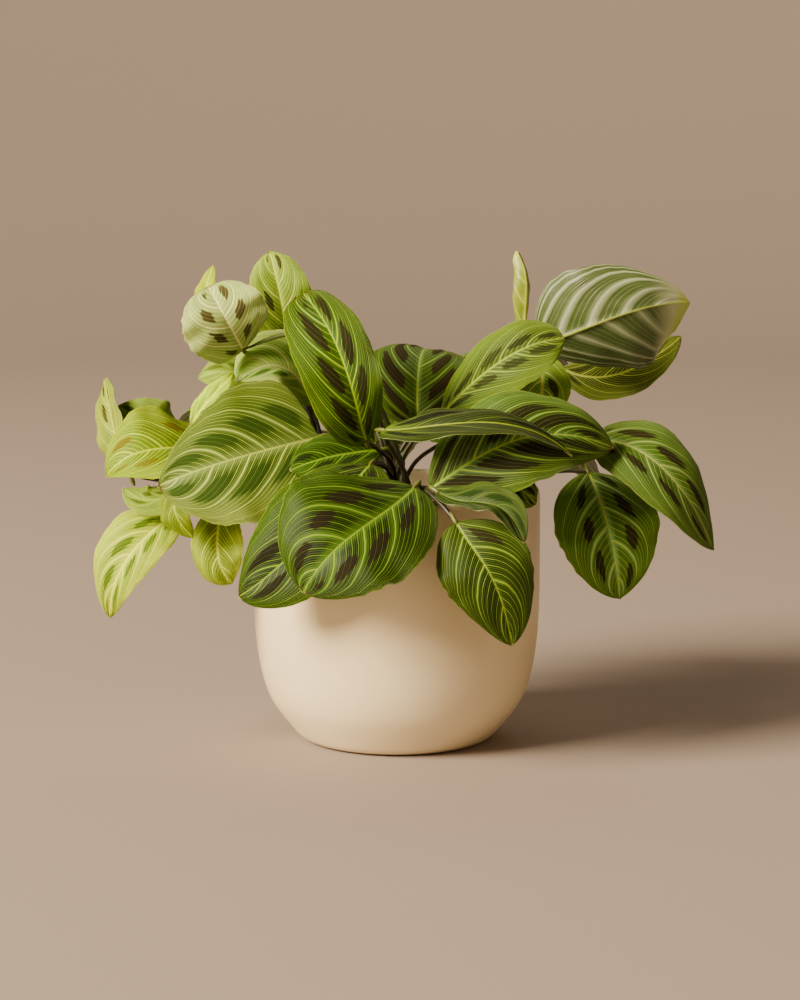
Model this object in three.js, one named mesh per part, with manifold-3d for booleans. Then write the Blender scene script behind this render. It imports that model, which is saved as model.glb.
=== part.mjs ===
// A prayer plant with patterned leaves in a round cream pot.
// Millimetres, +Z up, +Y away from the viewer, origin in the middle of the pot's flat foot.
import * as THREE from "three";
import { mergeVertices } from "three/addons/utils/BufferGeometryUtils.js";
import Module from "manifold-3d";

// Pot and soil: the bowl and the inside are radius and height, from the foot up and from the rim down
const potRadius = 84.7;
const potHeight = 150;
const potWall = 6;
const potFloor = 9;
const potSides = 40;
const rimRound = 2;
const potBowl = [
  [50, 0], [56, 1.6], [62, 7.5], [69, 16], [75, 25], [79.4, 37], [82.2, 51], [84, 68], [potRadius, 88],
];
const potInside = [[potRadius - potWall, 90], [75, 50], [66, 22], [52, potFloor]];
const soilTop = 136;
const soilFall = 5;
const soilEdge = 0.75;
const soilEase = 0.2;
const soilGap = 0.4;

// Shoots: the crown stands in the soil and petioles fan out of it
const crownRadius = 5;
const crownHeight = 16;
const crownDepth = 18;
const crownGap = 0.35;
const crownSides = 10;
const crownTaper = 0.8;
const petioleRadius = 1.4;
const petioleSides = 5;
const petioleGap = 0.3;
const petioleClear = 0.8;
const petioleStep = 18;
const leastSteps = 5;

// The search for a petiole's way: it starts inside the crown and each try is a little looser than the last
const sampleStep = 3;
const endRun = 7;
const routeTries = 900;
const rootHeight = 5;
const leastClimb = 20;
const tightest = 4;
const loosest = 64;
const leanShare = 0.12;
const pullShare = 0.03;
const riseShare = [0.45, 0.8];
const extraRise = 1.5;
const kneeLength = 9;
const kneeLoose = 0.8;
const homeShare = 0.4;

// Blades
const bladeThickness = 0.8;
const bladeGap = 1.1;
const stubHalfWidth = 1.1;
const smallBlade = 36;
const usualWidest = 0.47;
const usualFullness = 1.25;
const endFade = 1.6;
const waveCount = [2.2, 3.4];
const smallGrid = [8, 4];
const largeGrid = [9, 6];

// A crowded leaf yields away from the front, along the slightly falling line of sight
const yieldWay = new THREE.Vector3(0, 0.99, -0.14).normalize();
const yieldStep = 1.5;
const yieldLimit = 30;

const colours = {
  pot: 0xe6d8c0,
  soil: 0x3b2a1f,
  stem: 0x5a4632,
  green: 0x4d6b2a,
  silver: 0x7f9270,
  pale: 0xb4c39a,
  lime: 0xa3b93c,
};

const { clamp, lerp } = THREE.MathUtils;
const wasm = await Module();
wasm.setup();

// Leaves from front to back. "at" holds four points that the midrib passes, from base to tip, and "face" is the
// way that the upper side looks. "wide" is the full width, "widest" how far along the blade that is reached and
// "fullness" how pointed the outline is: each is one number, or one for each half of the blade. "fold" lifts the
// halves at the midrib and "cup" bends them on to the edge, in radians. "wave" is the height of the edge's waves.
const leaves = [
  { name: "blade_front_low", tone: "green", wide: 54, fold: 0.22, cup: -0.55, wave: 1.5,
    at: [[33, -96, 143], [44, -108, 128], [55, -111, 109], [64, -103, 75]], face: [0.1, -1, 0.3] },
  { name: "blade_front_wide", tone: "green", wide: [76, 98], fold: 0.2, cup: -0.5, wave: 1.5,
    fullness: 1.05,
    at: [[10, -76, 160], [-11, -106, 147], [-32, -122, 133], [-51, -120, 108]], face: [-0.25, -0.93, 0.32] },
  { name: "blade_front_curl", tone: "silver", wide: 28, fold: 0.6, cup: -0.4, wave: 1,
    at: [[23, -80, 158], [41, -94, 154], [57, -102, 152], [70, -112, 134]], face: [0, -0.5, 0.85] },
  { name: "blade_front_left", tone: "green", wide: 66, fold: 0.2, cup: -0.5, wave: 1.5,
    at: [[-15, -62, 171], [-33, -88, 153], [-58, -99, 126], [-88, -96, 101]], face: [-0.3, -0.9, 0.35] },
  { name: "blade_right_low", tone: "green", wide: 64, fold: 0.2, cup: -0.5, wave: 1.5,
    at: [[111, -28, 162], [118, -46, 144], [124, -54, 121], [128, -50, 92]], face: [0.25, -0.95, 0.2] },
  { name: "blade_middle_long", tone: "green", wide: 27, fold: 0.3, cup: -0.5, wave: 1,
    widest: 0.27,
    at: [[-7, -74, 192], [24, -94, 197], [61, -100, 198], [97, -96, 180]], face: [0, -0.55, 0.83] },
  { name: "blade_middle_dark", tone: "green", wide: [62, 58], fold: 0.15, cup: -0.4, wave: 1.5,
    at: [[19, -68, 158], [47, -80, 178], [80, -82, 190], [122, -66, 181]], face: [0.05, -0.85, 0.5] },
  { name: "blade_right_arched", tone: "green", wide: [56, 50], fold: 0.15, cup: -0.5, wave: 1,
    widest: [0.34, 0.42],
    at: [[113, -40, 182], [138, -58, 178], [161, -66, 157], [181, -54, 121]], face: [0.35, -0.75, 0.55] },
  { name: "blade_left_small", tone: "green", wide: 30, fold: 0.3, cup: -0.5, wave: 1,
    at: [[-9, -40, 177], [-29, -52, 176], [-46, -60, 173], [-60, -64, 168]], face: [0, -0.8, 0.6] },
  { name: "blade_centre_tall", tone: "green", wide: [54, 38], fold: 0.25, cup: -0.5, wave: 1.5,
    widest: 0.6, fullness: 0.8,
    at: [[-17, -60, 184], [-23, -76, 208], [-33, -72, 238], [-53, -40, 266]], face: [0.1, -0.95, 0.3] },
  { name: "blade_left_wide", tone: "silver", wide: [80, 90], fold: 0.12, cup: -0.35, wave: 1.5,
    widest: [0.47, 0.22], fullness: [1.25, 1],
    at: [[-45, -38, 184], [-77, -57, 178], [-107, -66, 170], [-135, -64, 159]], face: [-0.2, -0.93, 0.35] },
  { name: "blade_right_of_centre", tone: "pale", wide: [36, 42], fold: 0.2, cup: -0.4, wave: 1,
    widest: 0.56,
    at: [[26, -20, 195], [48, -40, 219], [71, -48, 235], [95, -44, 241]], face: [-0.3, -0.9, 0.3] },
  { name: "blade_centre_back", tone: "green", wide: 66, fold: 0.2, cup: -0.4, wave: 1,
    at: [[12, -12, 189], [12, -16, 209], [14, 2, 226], [19, 34, 227]], face: [0, -0.7, 0.7] },
  { name: "blade_left_hanging", tone: "lime", wide: 32, fold: 0.3, cup: -0.5, wave: 1,
    at: [[-101, -30, 143], [-103, -42, 128], [-102, -44, 112], [-95, -38, 99]], face: [-0.2, -1, 0.1] },
  { name: "blade_left_slim", tone: "lime", wide: 24, fold: 0.3, cup: -0.5, wave: 1,
    at: [[-116, -40, 165], [-125, -56, 153], [-125, -62, 142], [-116, -60, 129]], face: [-0.6, -0.8, 0.1] },
  { name: "blade_left_glossy", tone: "silver", wide: [30, 54], fold: 0.2, cup: -0.4, wave: 1,
    at: [[-50, 12, 196], [-58, -4, 215], [-73, -14, 223], [-92, -20, 214]], face: [-0.1, -0.8, 0.6] },
  { name: "blade_top_pale", tone: "pale", wide: [54, 50], fold: 0.2, cup: -0.3, wave: 1.5,
    widest: 0.52, fullness: 0.85,
    at: [[-89, -14, 232], [-94, -30, 244], [-100, -34, 256], [-108, -26, 269]], face: [0.05, -1, 0.25] },
  { name: "blade_left_upper", tone: "pale", wide: 26, fold: 0.2, cup: -0.4, wave: 1,
    at: [[-78, 0, 214], [-88, -18, 219], [-101, -26, 221], [-115, -24, 217]], face: [-0.2, -0.8, 0.6] },
  { name: "blade_top_lime", tone: "lime", wide: 40, fold: 0.25, cup: -0.4, wave: 1,
    at: [[-63, 24, 227], [-66, 14, 247], [-70, 10, 269], [-75, 18, 287]], face: [0, -0.9, 0.4] },
  { name: "blade_top_dark", tone: "green", wide: 34, fold: 0.2, cup: -0.4, wave: 1,
    at: [[-54, 40, 239], [-65, 34, 242], [-75, 30, 241], [-87, 30, 235]], face: [-0.2, -0.8, 0.6] },
  { name: "blade_far_left_lime", tone: "lime", wide: [46, 70], fold: 0.15, cup: -0.4, wave: 1,
    widest: 0.42,
    at: [[-99, 0, 180], [-122, -26, 177], [-146, -40, 176], [-168, -36, 161]], face: [-0.2, -0.8, 0.6] },
  { name: "blade_far_left_slim", tone: "lime", wide: 13, fold: 0.2, cup: -0.4, wave: 1,
    at: [[-119, -20, 189], [-112, -28, 200], [-103, -30, 210], [-95, -22, 219]], face: [-0.1, -0.9, 0.3] },
  { name: "blade_far_left_small", tone: "pale", wide: 24, fold: 0.2, cup: -0.4, wave: 1,
    at: [[-119, -36, 150], [-133, -46, 150], [-144, -50, 149], [-157, -46, 155]], face: [-0.2, -0.7, 0.7] },
  { name: "blade_far_left_low", tone: "pale", wide: [32, 44], fold: 0.2, cup: -0.5, wave: 1,
    at: [[-126, -24, 140], [-141, -46, 130], [-157, -54, 111], [-166, -38, 79]], face: [-0.3, -0.95, 0.2] },
  { name: "blade_far_left_upright", tone: "pale", wide: 30, fold: 0.4, cup: -0.3, wave: 1,
    at: [[-157, -20, 160], [-164, -20, 180], [-169, -10, 198], [-174, 8, 213]], face: [-0.8, -0.6, 0.1] },
  { name: "blade_far_left_dark", tone: "green", wide: 42, fold: 0.2, cup: -0.4, wave: 1,
    at: [[-125, 10, 172], [-139, -2, 180], [-151, -6, 188], [-166, 0, 197]], face: [-0.3, -0.8, 0.5] },
  { name: "blade_top_slim", tone: "lime", wide: 15, fold: 0.2, cup: -0.3, wave: 1,
    at: [[-106, 12, 243], [-111, 4, 256], [-111, 4, 268], [-108, 14, 279]], face: [-0.5, -0.8, 0.2] },
  { name: "blade_inner_dark", tone: "green", wide: 34, fold: 0.2, cup: -0.4, wave: 1,
    at: [[82, -8, 230], [84, -22, 217], [84, -28, 205], [83, -24, 187]], face: [0, -0.9, 0.4] },
  { name: "blade_inner_pale", tone: "silver", wide: 30, fold: 0.2, cup: -0.4, wave: 1,
    at: [[69, -4, 187], [67, -8, 202], [65, 0, 213], [64, 18, 220]], face: [0, 0.9, 0.3] },
  { name: "blade_rim_right", tone: "green", wide: 26, fold: 0.2, cup: -0.4, wave: 1,
    at: [[54, -38, 166], [63, -54, 161], [72, -60, 155], [79, -58, 148]], face: [0.4, -0.8, 0.5] },
  { name: "blade_right_big", tone: "silver", wide: [88, 70], fold: 0.1, cup: 0.5, wave: 1.5,
    widest: [0.66, 0.32], fullness: [0.7, 1.3],
    at: [[85, 0, 235], [112, -16, 246], [140, -20, 256], [170, -10, 259]], face: [0, 0.97, 0.25] },
  { name: "blade_right_under", tone: "green", wide: 32, fold: 0.15, cup: -0.3, wave: 1,
    at: [[99, 30, 217], [120, 28, 212], [144, 32, 218], [171, 46, 235]], face: [0.1, -0.85, 0.5] },
  { name: "blade_new_rolled", tone: "lime", wide: 24, fold: 0, cup: 2.6, wave: 0,
    at: [[75, 0, 242], [75, -4, 259], [75, -4, 273], [70, 4, 288]], face: [-0.5, 0.85, 0] },
];

// Leaves round the back and in the middle, each an arch that leaves the plant at an azimuth: radius and height of
// the base, length, width, and the slope in degrees at the base and at the tip
const backLeaves = [
  { name: "blade_back_1", azimuth: 8, radius: 62, height: 176, length: 84, wide: 52, rise: 20, droop: 50 },
  { name: "blade_back_2", azimuth: 34, radius: 60, height: 172, length: 100, wide: 62, rise: 20, droop: 60 },
  { name: "blade_back_3", azimuth: 42, radius: 52, height: 214, length: 92, wide: 58, rise: 32, droop: 40 },
  { name: "blade_back_4", azimuth: 62, radius: 58, height: 170, length: 104, wide: 64, rise: 20, droop: 65 },
  { name: "blade_back_5", azimuth: 80, radius: 46, height: 204, length: 96, wide: 58, rise: 25, droop: 45 },
  { name: "blade_back_6", azimuth: 98, radius: 56, height: 168, length: 100, wide: 62, rise: 20, droop: 65 },
  { name: "blade_back_7", azimuth: 116, radius: 46, height: 208, length: 96, wide: 60, rise: 30, droop: 45 },
  { name: "blade_back_8", azimuth: 134, radius: 58, height: 170, length: 100, wide: 62, rise: 18, droop: 60 },
  { name: "blade_back_9", azimuth: 138, radius: 50, height: 216, length: 94, wide: 56, rise: 30, droop: 40 },
  { name: "blade_back_10", azimuth: 160, radius: 60, height: 196, length: 90, wide: 54, rise: 25, droop: 50 },
  { name: "blade_back_11", azimuth: 70, radius: 16, height: 176, length: 58, wide: 36, rise: 78, droop: -45 },
  { name: "blade_back_12", azimuth: 110, radius: 38, height: 172, length: 54, wide: 32, rise: 75, droop: -40 },
];

// Where the shoots leave the soil
const crowns = [[10, -38], [40, -22], [-42, 2], [-2, -4], [38, 14], [-30, 34], [4, 38]];

// Shape helpers

const degrees = Math.PI / 180;
const pair = (value) => (Array.isArray(value) ? value : [value, value]);

// The cubic that passes four points at 0, 1/3, 2/3 and 1
function through(points, t) {
  const weights = [
    ((1 - 3 * t) * (2 - 3 * t) * (1 - t)) / 2,
    (9 * t * (2 - 3 * t) * (1 - t)) / 2,
    (9 * t * (3 * t - 1) * (1 - t)) / 2,
    (t * (3 * t - 1) * (3 * t - 2)) / 2,
  ];
  const out = new THREE.Vector3();
  points.forEach((p, i) => out.addScaledVector(new THREE.Vector3(...p), weights[i]));
  return out;
}

// A fixed number between 0 and 1 for each leaf and use
function seeded(index, salt) {
  const x = Math.sin(index * 12.9898 + salt * 78.233) * 43758.5453;
  return x - Math.floor(x);
}

// A geometry's closed surface as a solid that can be joined and cut
function toSolid(geometry) {
  const bare = geometry.clone();
  bare.deleteAttribute("normal");
  bare.deleteAttribute("uv");
  const merged = mergeVertices(bare, 1e-4);
  const vertProperties = merged.attributes.position.array;
  const triVerts = new Uint32Array(merged.index.array);
  return new wasm.Manifold(new wasm.Mesh({ numProp: 3, vertProperties, triVerts }));
}

function toGeometry(solid) {
  const mesh = solid.getMesh();
  const geometry = new THREE.BufferGeometry();
  geometry.setAttribute("position", new THREE.Float32BufferAttribute(mesh.vertProperties, 3));
  geometry.setIndex(new THREE.BufferAttribute(new Uint32Array(mesh.triVerts), 1));
  geometry.computeVertexNormals();
  return geometry;
}

function boxOf(solid) {
  const { min, max } = solid.boundingBox();
  return new THREE.Box3(new THREE.Vector3(...min), new THREE.Vector3(...max));
}

// A profile of radius and height turned round the pot's axis
function lathe(profile) {
  const points = profile.map(([r, z]) => new THREE.Vector2(r, z));
  return new THREE.LatheGeometry(points, potSides).rotateX(Math.PI / 2);
}

// An upright cylinder from its lower end
function post(x, y, bottom, height, lowRadius, topRadius) {
  const geometry = new THREE.CylinderGeometry(topRadius, lowRadius, height, crownSides);
  return geometry.rotateX(Math.PI / 2).translate(x, y, bottom + height / 2);
}

// Pot and soil

function potGeometry() {
  const inside = potRadius - potWall;
  const outer = [[0, 0], ...potBowl, [potRadius - 0.2, potHeight - rimRound], [potRadius - rimRound, potHeight]];
  const inner = [[inside + rimRound, potHeight], [inside, potHeight - rimRound], ...potInside, [0, potFloor]];
  return lathe([...outer, ...inner]);
}

// The soil fills the pot and has a plain hole for the foot of each shoot
function soilGeometry() {
  const inside = potRadius - potWall - soilGap;
  const walls = potInside.map(([r, z]) => [r - soilGap, z + soilGap]).reverse();
  const top = [[inside, soilTop - soilFall], [soilEdge * inside, soilTop - soilEase * soilFall], [0, soilTop]];
  let solid = toSolid(lathe([[0, potFloor + soilGap], ...walls, ...top]));
  const holeRadius = crownRadius + crownGap;
  for (const [x, y] of crowns) {
    const hole = post(x, y, soilTop - crownDepth - crownGap, crownDepth + crownHeight, holeRadius, holeRadius);
    solid = solid.subtract(toSolid(hole));
  }
  return toGeometry(solid);
}

// Leaf blades

// Half width along the blade, 1 at its widest: a round base and a pointed tip
function outline({ widest = usualWidest, fullness = usualFullness }, hand, t) {
  const top = pair(widest)[hand];
  return ((t / top) ** top * ((1 - t) / (1 - top)) ** (1 - top)) ** pair(fullness)[hand];
}

// A point of the blade's middle surface: t runs from base to tip, v from -1 at the left edge to 1 at the right
function bladePoint(leaf, t, v) {
  const ahead = through(leaf.at, Math.min(t + 1e-3, 1));
  const behind = through(leaf.at, Math.max(t - 1e-3, 0));
  const tangent = ahead.sub(behind).normalize();
  const face = new THREE.Vector3(...leaf.face);
  face.addScaledVector(tangent, -face.dot(tangent)).normalize();
  const side = tangent.clone().cross(face);
  const hand = v < 0 ? 0 : 1;
  const swell = outline(leaf, hand, t);
  const half = Math.max((swell * pair(leaf.wide)[hand]) / 2, stubHalfWidth);
  const fade = Math.min(1, swell * endFade);
  const fold = leaf.fold * fade;
  const cup = leaf.cup * fade || 1e-6;
  const across = (half / cup) * (Math.sin(fold + cup * Math.abs(v)) - Math.sin(fold));
  const lift = (half / cup) * (Math.cos(fold) - Math.cos(fold + cup * Math.abs(v)));
  const turns = lerp(...waveCount, seeded(leaf.index, hand));
  const wave = leaf.wave * v * v * swell * Math.sin(2 * Math.PI * (turns * t + seeded(leaf.index, 2 + hand)));
  const point = through(leaf.at, t);
  return point.addScaledVector(side, Math.sign(v) * across).addScaledVector(face, lift + wave);
}

// A closed blade: the same grid of triangles on both faces, and a strip round the rim
function bladeGeometry(leaf, thickness) {
  const small = Math.max(...pair(leaf.wide)) < smallBlade;
  const [rows, columns] = small ? smallGrid : largeGrid;
  const middle = [];
  for (let i = 0; i <= rows; i++) {
    for (let j = 0; j <= columns; j++) {
      middle.push(bladePoint(leaf, i / rows, (2 * j) / columns - 1));
    }
  }
  const at = (i, j) => i * (columns + 1) + j;
  const near = (i, j) => middle[at(clamp(i, 0, rows), clamp(j, 0, columns))];
  const vertices = [];
  for (const way of [1, -1]) {
    for (let i = 0; i <= rows; i++) {
      for (let j = 0; j <= columns; j++) {
        const along = near(i + 1, j).clone().sub(near(i - 1, j));
        const across = near(i, j + 1).clone().sub(near(i, j - 1));
        const normal = across.cross(along).normalize();
        vertices.push(...near(i, j).clone().addScaledVector(normal, (way * thickness) / 2));
      }
    }
  }
  const under = middle.length;
  const index = [];
  for (let i = 0; i < rows; i++) {
    for (let j = 0; j < columns; j++) {
      const [a, b, c, d] = [at(i, j), at(i, j + 1), at(i + 1, j + 1), at(i + 1, j)];
      const split = j < columns / 2 ? [a, b, c, a, c, d] : [a, b, d, b, c, d];
      index.push(...split);
      for (const k of [0, 3]) {
        index.push(split[k] + under, split[k + 2] + under, split[k + 1] + under);
      }
    }
  }
  const rim = [];
  for (let j = 0; j < columns; j++) rim.push(at(0, j));
  for (let i = 0; i < rows; i++) rim.push(at(i, columns));
  for (let j = columns; j > 0; j--) rim.push(at(rows, j));
  for (let i = rows; i > 0; i--) rim.push(at(i, 0));
  rim.forEach((a, k) => {
    const b = rim[(k + 1) % rim.length];
    index.push(a, a + under, b, b, a + under, b + under);
  });
  const geometry = new THREE.BufferGeometry();
  geometry.setAttribute("position", new THREE.Float32BufferAttribute(vertices, 3));
  geometry.setIndex(index);
  return geometry;
}

// A leaf of the back as a table row like the others
function arch({ name, azimuth, radius, height, length, wide, rise, droop }) {
  const out = [Math.cos(azimuth * degrees), Math.sin(azimuth * degrees)];
  const at = [[radius * out[0], radius * out[1], height]];
  for (let k = 0; k < 3; k++) {
    const slope = (rise - ((rise + droop) * (k + 0.5)) / 3) * degrees;
    const [x, y, z] = at[k];
    const run = (length / 3) * Math.cos(slope);
    at.push([x + run * out[0], y + run * out[1], z + (length / 3) * Math.sin(slope)]);
  }
  return { name, tone: "green", wide, fold: 0.18, cup: -0.5, wave: 1.5, at, face: [0, 0, 1] };
}

// Sets the leaves one after the other. One that meets the pot or a leaf before it yields until it is clear.
function placeBlades(pot) {
  const placed = [];
  [...leaves, ...backLeaves.map(arch)].forEach((leaf, index) => {
    leaf.index = index;
    const room = toSolid(bladeGeometry(leaf, bladeThickness + 2 * bladeGap));
    const meets = (shift) => {
      const moved = room.translate(shift.toArray());
      const box = boxOf(moved);
      const others = placed.filter((other) => box.intersectsBox(other.box)).map((other) => other.solid);
      return [pot, ...others].some((other) => moved.intersect(other).volume() > 1e-3);
    };
    const shift = new THREE.Vector3();
    while (meets(shift)) {
      shift.addScaledVector(yieldWay, yieldStep);
      if (shift.length() > yieldLimit) throw new Error("no room for " + leaf.name);
    }
    leaf.at = leaf.at.map((p) => shift.clone().add(new THREE.Vector3(...p)).toArray());
    const solid = toSolid(bladeGeometry(leaf, bladeThickness));
    placed.push({ leaf, solid, box: boxOf(solid), facets: facetsOf(solid) });
  });
  return placed;
}

function facetsOf(solid) {
  const { vertProperties, triVerts } = solid.getMesh();
  const corner = (i) => new THREE.Vector3().fromArray(vertProperties, 3 * triVerts[i]);
  const facets = [];
  for (let i = 0; i < triVerts.length; i += 3) {
    facets.push(new THREE.Triangle(corner(i), corner(i + 1), corner(i + 2)));
  }
  return facets;
}

// Shoots

const nearest = new THREE.Vector3();
const fromAxis = ({ x, y }) => Math.hypot(x, y);
const fromCrown = ({ x, y }, crown) => Math.hypot(x - crowns[crown][0], y - crowns[crown][1]);

function meetsPot(p, reach) {
  const overWall = fromAxis(p) > potRadius - potWall - reach && fromAxis(p) < potRadius + reach;
  return overWall && p.z < potHeight + reach + 1;
}

function meetsBlade(p, blade, reach) {
  if (blade.box.distanceToPoint(p) > reach) return false;
  return blade.facets.some((facet) => facet.closestPointToPoint(p, nearest).distanceTo(p) < reach);
}

function meetsCrown(p, own, reach) {
  const low = p.z < soilTop + crownHeight + reach;
  const other = crowns.some((_, i) => i !== own && fromCrown(p, i) < crownRadius + reach);
  return (low && other) || (p.z < soilTop + reach && fromCrown(p, own) > crownRadius - petioleRadius);
}

function isClear(curve, blades, own, stems, crown) {
  const reach = petioleRadius + petioleClear;
  const length = curve.getLength();
  const samples = Math.ceil(length / sampleStep);
  for (let k = 0; k <= samples; k++) {
    const p = curve.getPointAt(k / samples);
    if (meetsPot(p, reach) || meetsCrown(p, crown, reach)) return false;
    const atEnd = length * (1 - k / samples) < endRun;
    const others = atEnd ? blades.filter((blade) => blade !== own) : blades;
    if (others.some((blade) => meetsBlade(p, blade, reach))) return false;
    const strangers = stems.filter((stem) => stem.crown !== crown).flatMap((stem) => stem.points);
    if (strangers.some((q) => q.distanceTo(p) < reach + petioleRadius)) return false;
  }
  return true;
}

// A petiole climbs from its crown and bends into its blade. Looser routes are tried until one is clear.
function routePetiole(own, blades, stems, crown) {
  const { leaf } = own;
  const base = through(leaf.at, 0);
  const ahead = through(leaf.at, pullShare).sub(base).normalize();
  const end = base.addScaledVector(ahead, -petioleGap);
  const root = new THREE.Vector3(...crowns[crown], soilTop + rootHeight);
  const climb = Math.max(leastClimb, end.z - root.z);
  for (let k = 0; k < routeTries; k++) {
    const loose = lerp(tightest, loosest, k / routeTries);
    const draw = (n) => seeded(leaf.index * 31 + k, crown + n) * 2 - 1;
    const first = root.clone().lerp(end, leanShare);
    first.x += loose * draw(11);
    first.y += loose * draw(12);
    const rise = climb * lerp(...riseShare, seeded(leaf.index, k + 5));
    first.z = root.z + rise + extraRise * loose * seeded(k, 15);
    const knee = kneeLength + kneeLoose * loose * seeded(leaf.index * 17 + k, 13);
    const second = end.clone().addScaledVector(ahead, -knee);
    const curve = new THREE.CubicBezierCurve3(root, first, second, end);
    if (isClear(curve, blades, own, stems, crown)) return curve;
  }
  return null;
}

function petioleGeometry(curve) {
  const corners = [];
  for (let k = 0; k < petioleSides; k++) {
    const angle = (2 * Math.PI * k) / petioleSides;
    corners.push(new THREE.Vector2(petioleRadius * Math.cos(angle), petioleRadius * Math.sin(angle)));
  }
  const steps = Math.max(leastSteps, Math.round(curve.getLength() / petioleStep));
  const section = new THREE.Shape(corners);
  return new THREE.ExtrudeGeometry(section, { steps, bevelEnabled: false, extrudePath: curve });
}

// Gives each blade a petiole from the crown nearest below it that has a clear way, the farthest blades first
function growShoots(blades) {
  const stems = [];
  const byReach = [...blades].sort((a, b) => fromAxis(through(b.leaf.at, 0)) - fromAxis(through(a.leaf.at, 0)));
  for (const blade of byReach) {
    const home = through(blade.leaf.at, 0).multiplyScalar(homeShare);
    const order = [...crowns.keys()].sort((a, b) => fromCrown(home, a) - fromCrown(home, b));
    let curve = null;
    const crown = order.find((i) => (curve = routePetiole(blade, blades, stems, i)));
    if (!curve) throw new Error("no way for the petiole of " + blade.leaf.name);
    stems.push({ crown, curve, points: curve.getSpacedPoints(Math.ceil(curve.getLength() / sampleStep)) });
  }
  return stems;
}

function shootGeometry(crown, curves) {
  const [x, y] = crowns[crown];
  const foot = post(x, y, soilTop - crownDepth, crownDepth + crownHeight, crownRadius, crownRadius * crownTaper);
  let solid = toSolid(foot);
  for (const curve of curves) solid = solid.add(toSolid(petioleGeometry(curve)));
  return toGeometry(solid);
}

// The whole plant

function makeMesh(name, geometry, colour, roughness) {
  const material = new THREE.MeshStandardMaterial({ color: colour, roughness, metalness: 0 });
  material.flatShading = true;
  const mesh = new THREE.Mesh(geometry, material);
  mesh.name = name;
  return mesh;
}

const plant = new THREE.Group();
const pot = potGeometry();
plant.add(makeMesh("pot", pot, colours.pot, 0.35));
plant.add(makeMesh("soil", soilGeometry(), colours.soil, 0.95));
const blades = placeBlades(toSolid(pot));
for (const { leaf, solid } of blades) {
  plant.add(makeMesh(leaf.name, toGeometry(solid), colours[leaf.tone], 0.5));
}
const stems = growShoots(blades);
for (const crown of crowns.keys()) {
  const curves = stems.filter((stem) => stem.crown === crown).map((stem) => stem.curve);
  plant.add(makeMesh("shoot_" + (crown + 1), shootGeometry(crown, curves), colours.stem, 0.6));
}

export default plant;
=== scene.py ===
import math

import bmesh
import bpy
from mathutils import Matrix, Vector, noise


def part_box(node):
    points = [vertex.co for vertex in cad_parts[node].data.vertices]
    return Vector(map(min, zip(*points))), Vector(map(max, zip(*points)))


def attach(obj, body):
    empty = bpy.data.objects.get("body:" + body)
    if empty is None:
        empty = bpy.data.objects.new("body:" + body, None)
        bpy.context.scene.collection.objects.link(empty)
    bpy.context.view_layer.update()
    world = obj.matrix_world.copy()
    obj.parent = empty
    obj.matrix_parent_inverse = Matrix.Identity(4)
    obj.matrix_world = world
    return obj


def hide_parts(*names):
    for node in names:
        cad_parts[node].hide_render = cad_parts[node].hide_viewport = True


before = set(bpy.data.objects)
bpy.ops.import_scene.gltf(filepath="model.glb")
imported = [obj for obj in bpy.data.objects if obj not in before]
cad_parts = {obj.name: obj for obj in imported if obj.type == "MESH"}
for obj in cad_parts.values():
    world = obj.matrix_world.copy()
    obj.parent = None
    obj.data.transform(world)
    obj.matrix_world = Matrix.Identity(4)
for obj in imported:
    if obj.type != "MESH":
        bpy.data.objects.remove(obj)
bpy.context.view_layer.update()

mm = 0.001

# Shared helpers


def linear(hexColour):  # an sRGB hex value as linear RGBA
    channels = [int(hexColour[k:k + 2], 16) / 255 for k in (0, 2, 4)]
    return (*[c / 12.92 if c <= 0.04045 else ((c + 0.055) / 1.055) ** 2.4 for c in channels], 1.0)


def add(tree, kind, inputs=None, **settings):
    # One shader node. As an input, a node stands for its first output and a hex value for its colour.
    node = tree.nodes.new("ShaderNode" + kind)
    for name, value in settings.items():
        setattr(node, name, value)
    for name, value in (inputs or {}).items():
        if isinstance(value, str):
            value = linear(value)
        if isinstance(value, bpy.types.Node):
            value = value.outputs[0]
        if isinstance(value, bpy.types.NodeSocket):
            tree.links.new(value, node.inputs[name])
        else:
            node.inputs[name].default_value = value
    return node


def calc(tree, operation, *values, **settings):  # one step of arithmetic
    return add(tree, "Math", dict(enumerate(values)), operation=operation, **settings)


def times(tree, first, second):
    return calc(tree, "MULTIPLY", first, second)


def mapLinear(tree, value, start, end, low=0.0, high=1.0, **settings):  # low where value is start, high at end
    return add(tree, "MapRange", {0: value, 1: start, 2: end, 3: low, 4: high}, **settings)


def smoothStep(tree, value, start, end, high=1.0):  # the same from 0, with soft ends
    return mapLinear(tree, value, start, end, 0.0, high, interpolation_type="SMOOTHSTEP")


def blend(tree, share, under, over):  # two colours mixed
    return add(tree, "Mix", {0: share, 6: under, 7: over}, data_type="RGBA").outputs[2]


def tint(tree, under, mask, strength, over):  # a colour laid over another where the mask is
    return blend(tree, times(tree, mask, strength), under, over)


def clouds(tree, place, scale, detail, roughness=0.5):
    return add(tree, "TexNoise", {"Vector": place, "Scale": scale, "Detail": detail, "Roughness": roughness})


def relief(tree, height, strength, distance):
    return add(tree, "Bump", {"Height": height, "Strength": strength, "Distance": distance})


def newMaterial(name):
    mat = bpy.data.materials.new(name)
    mat.use_nodes = True
    mat.node_tree.nodes.clear()
    return mat, mat.node_tree


def newSurface(tree, colour, roughness, bump=None, **inputs):  # closes a material
    if bump:
        inputs["Normal"] = bump
    surface = add(tree, "BsdfPrincipled", {"Base Color": colour, "Roughness": roughness, **inputs})
    add(tree, "OutputMaterial", {0: surface})


def objectPlace(tree):  # the place on a piece, in metres
    return add(tree, "TexCoord").outputs[3]


def addToScene(name, data):
    made = bpy.data.objects.new(name, data)
    bpy.context.scene.collection.objects.link(made)
    return made


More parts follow.
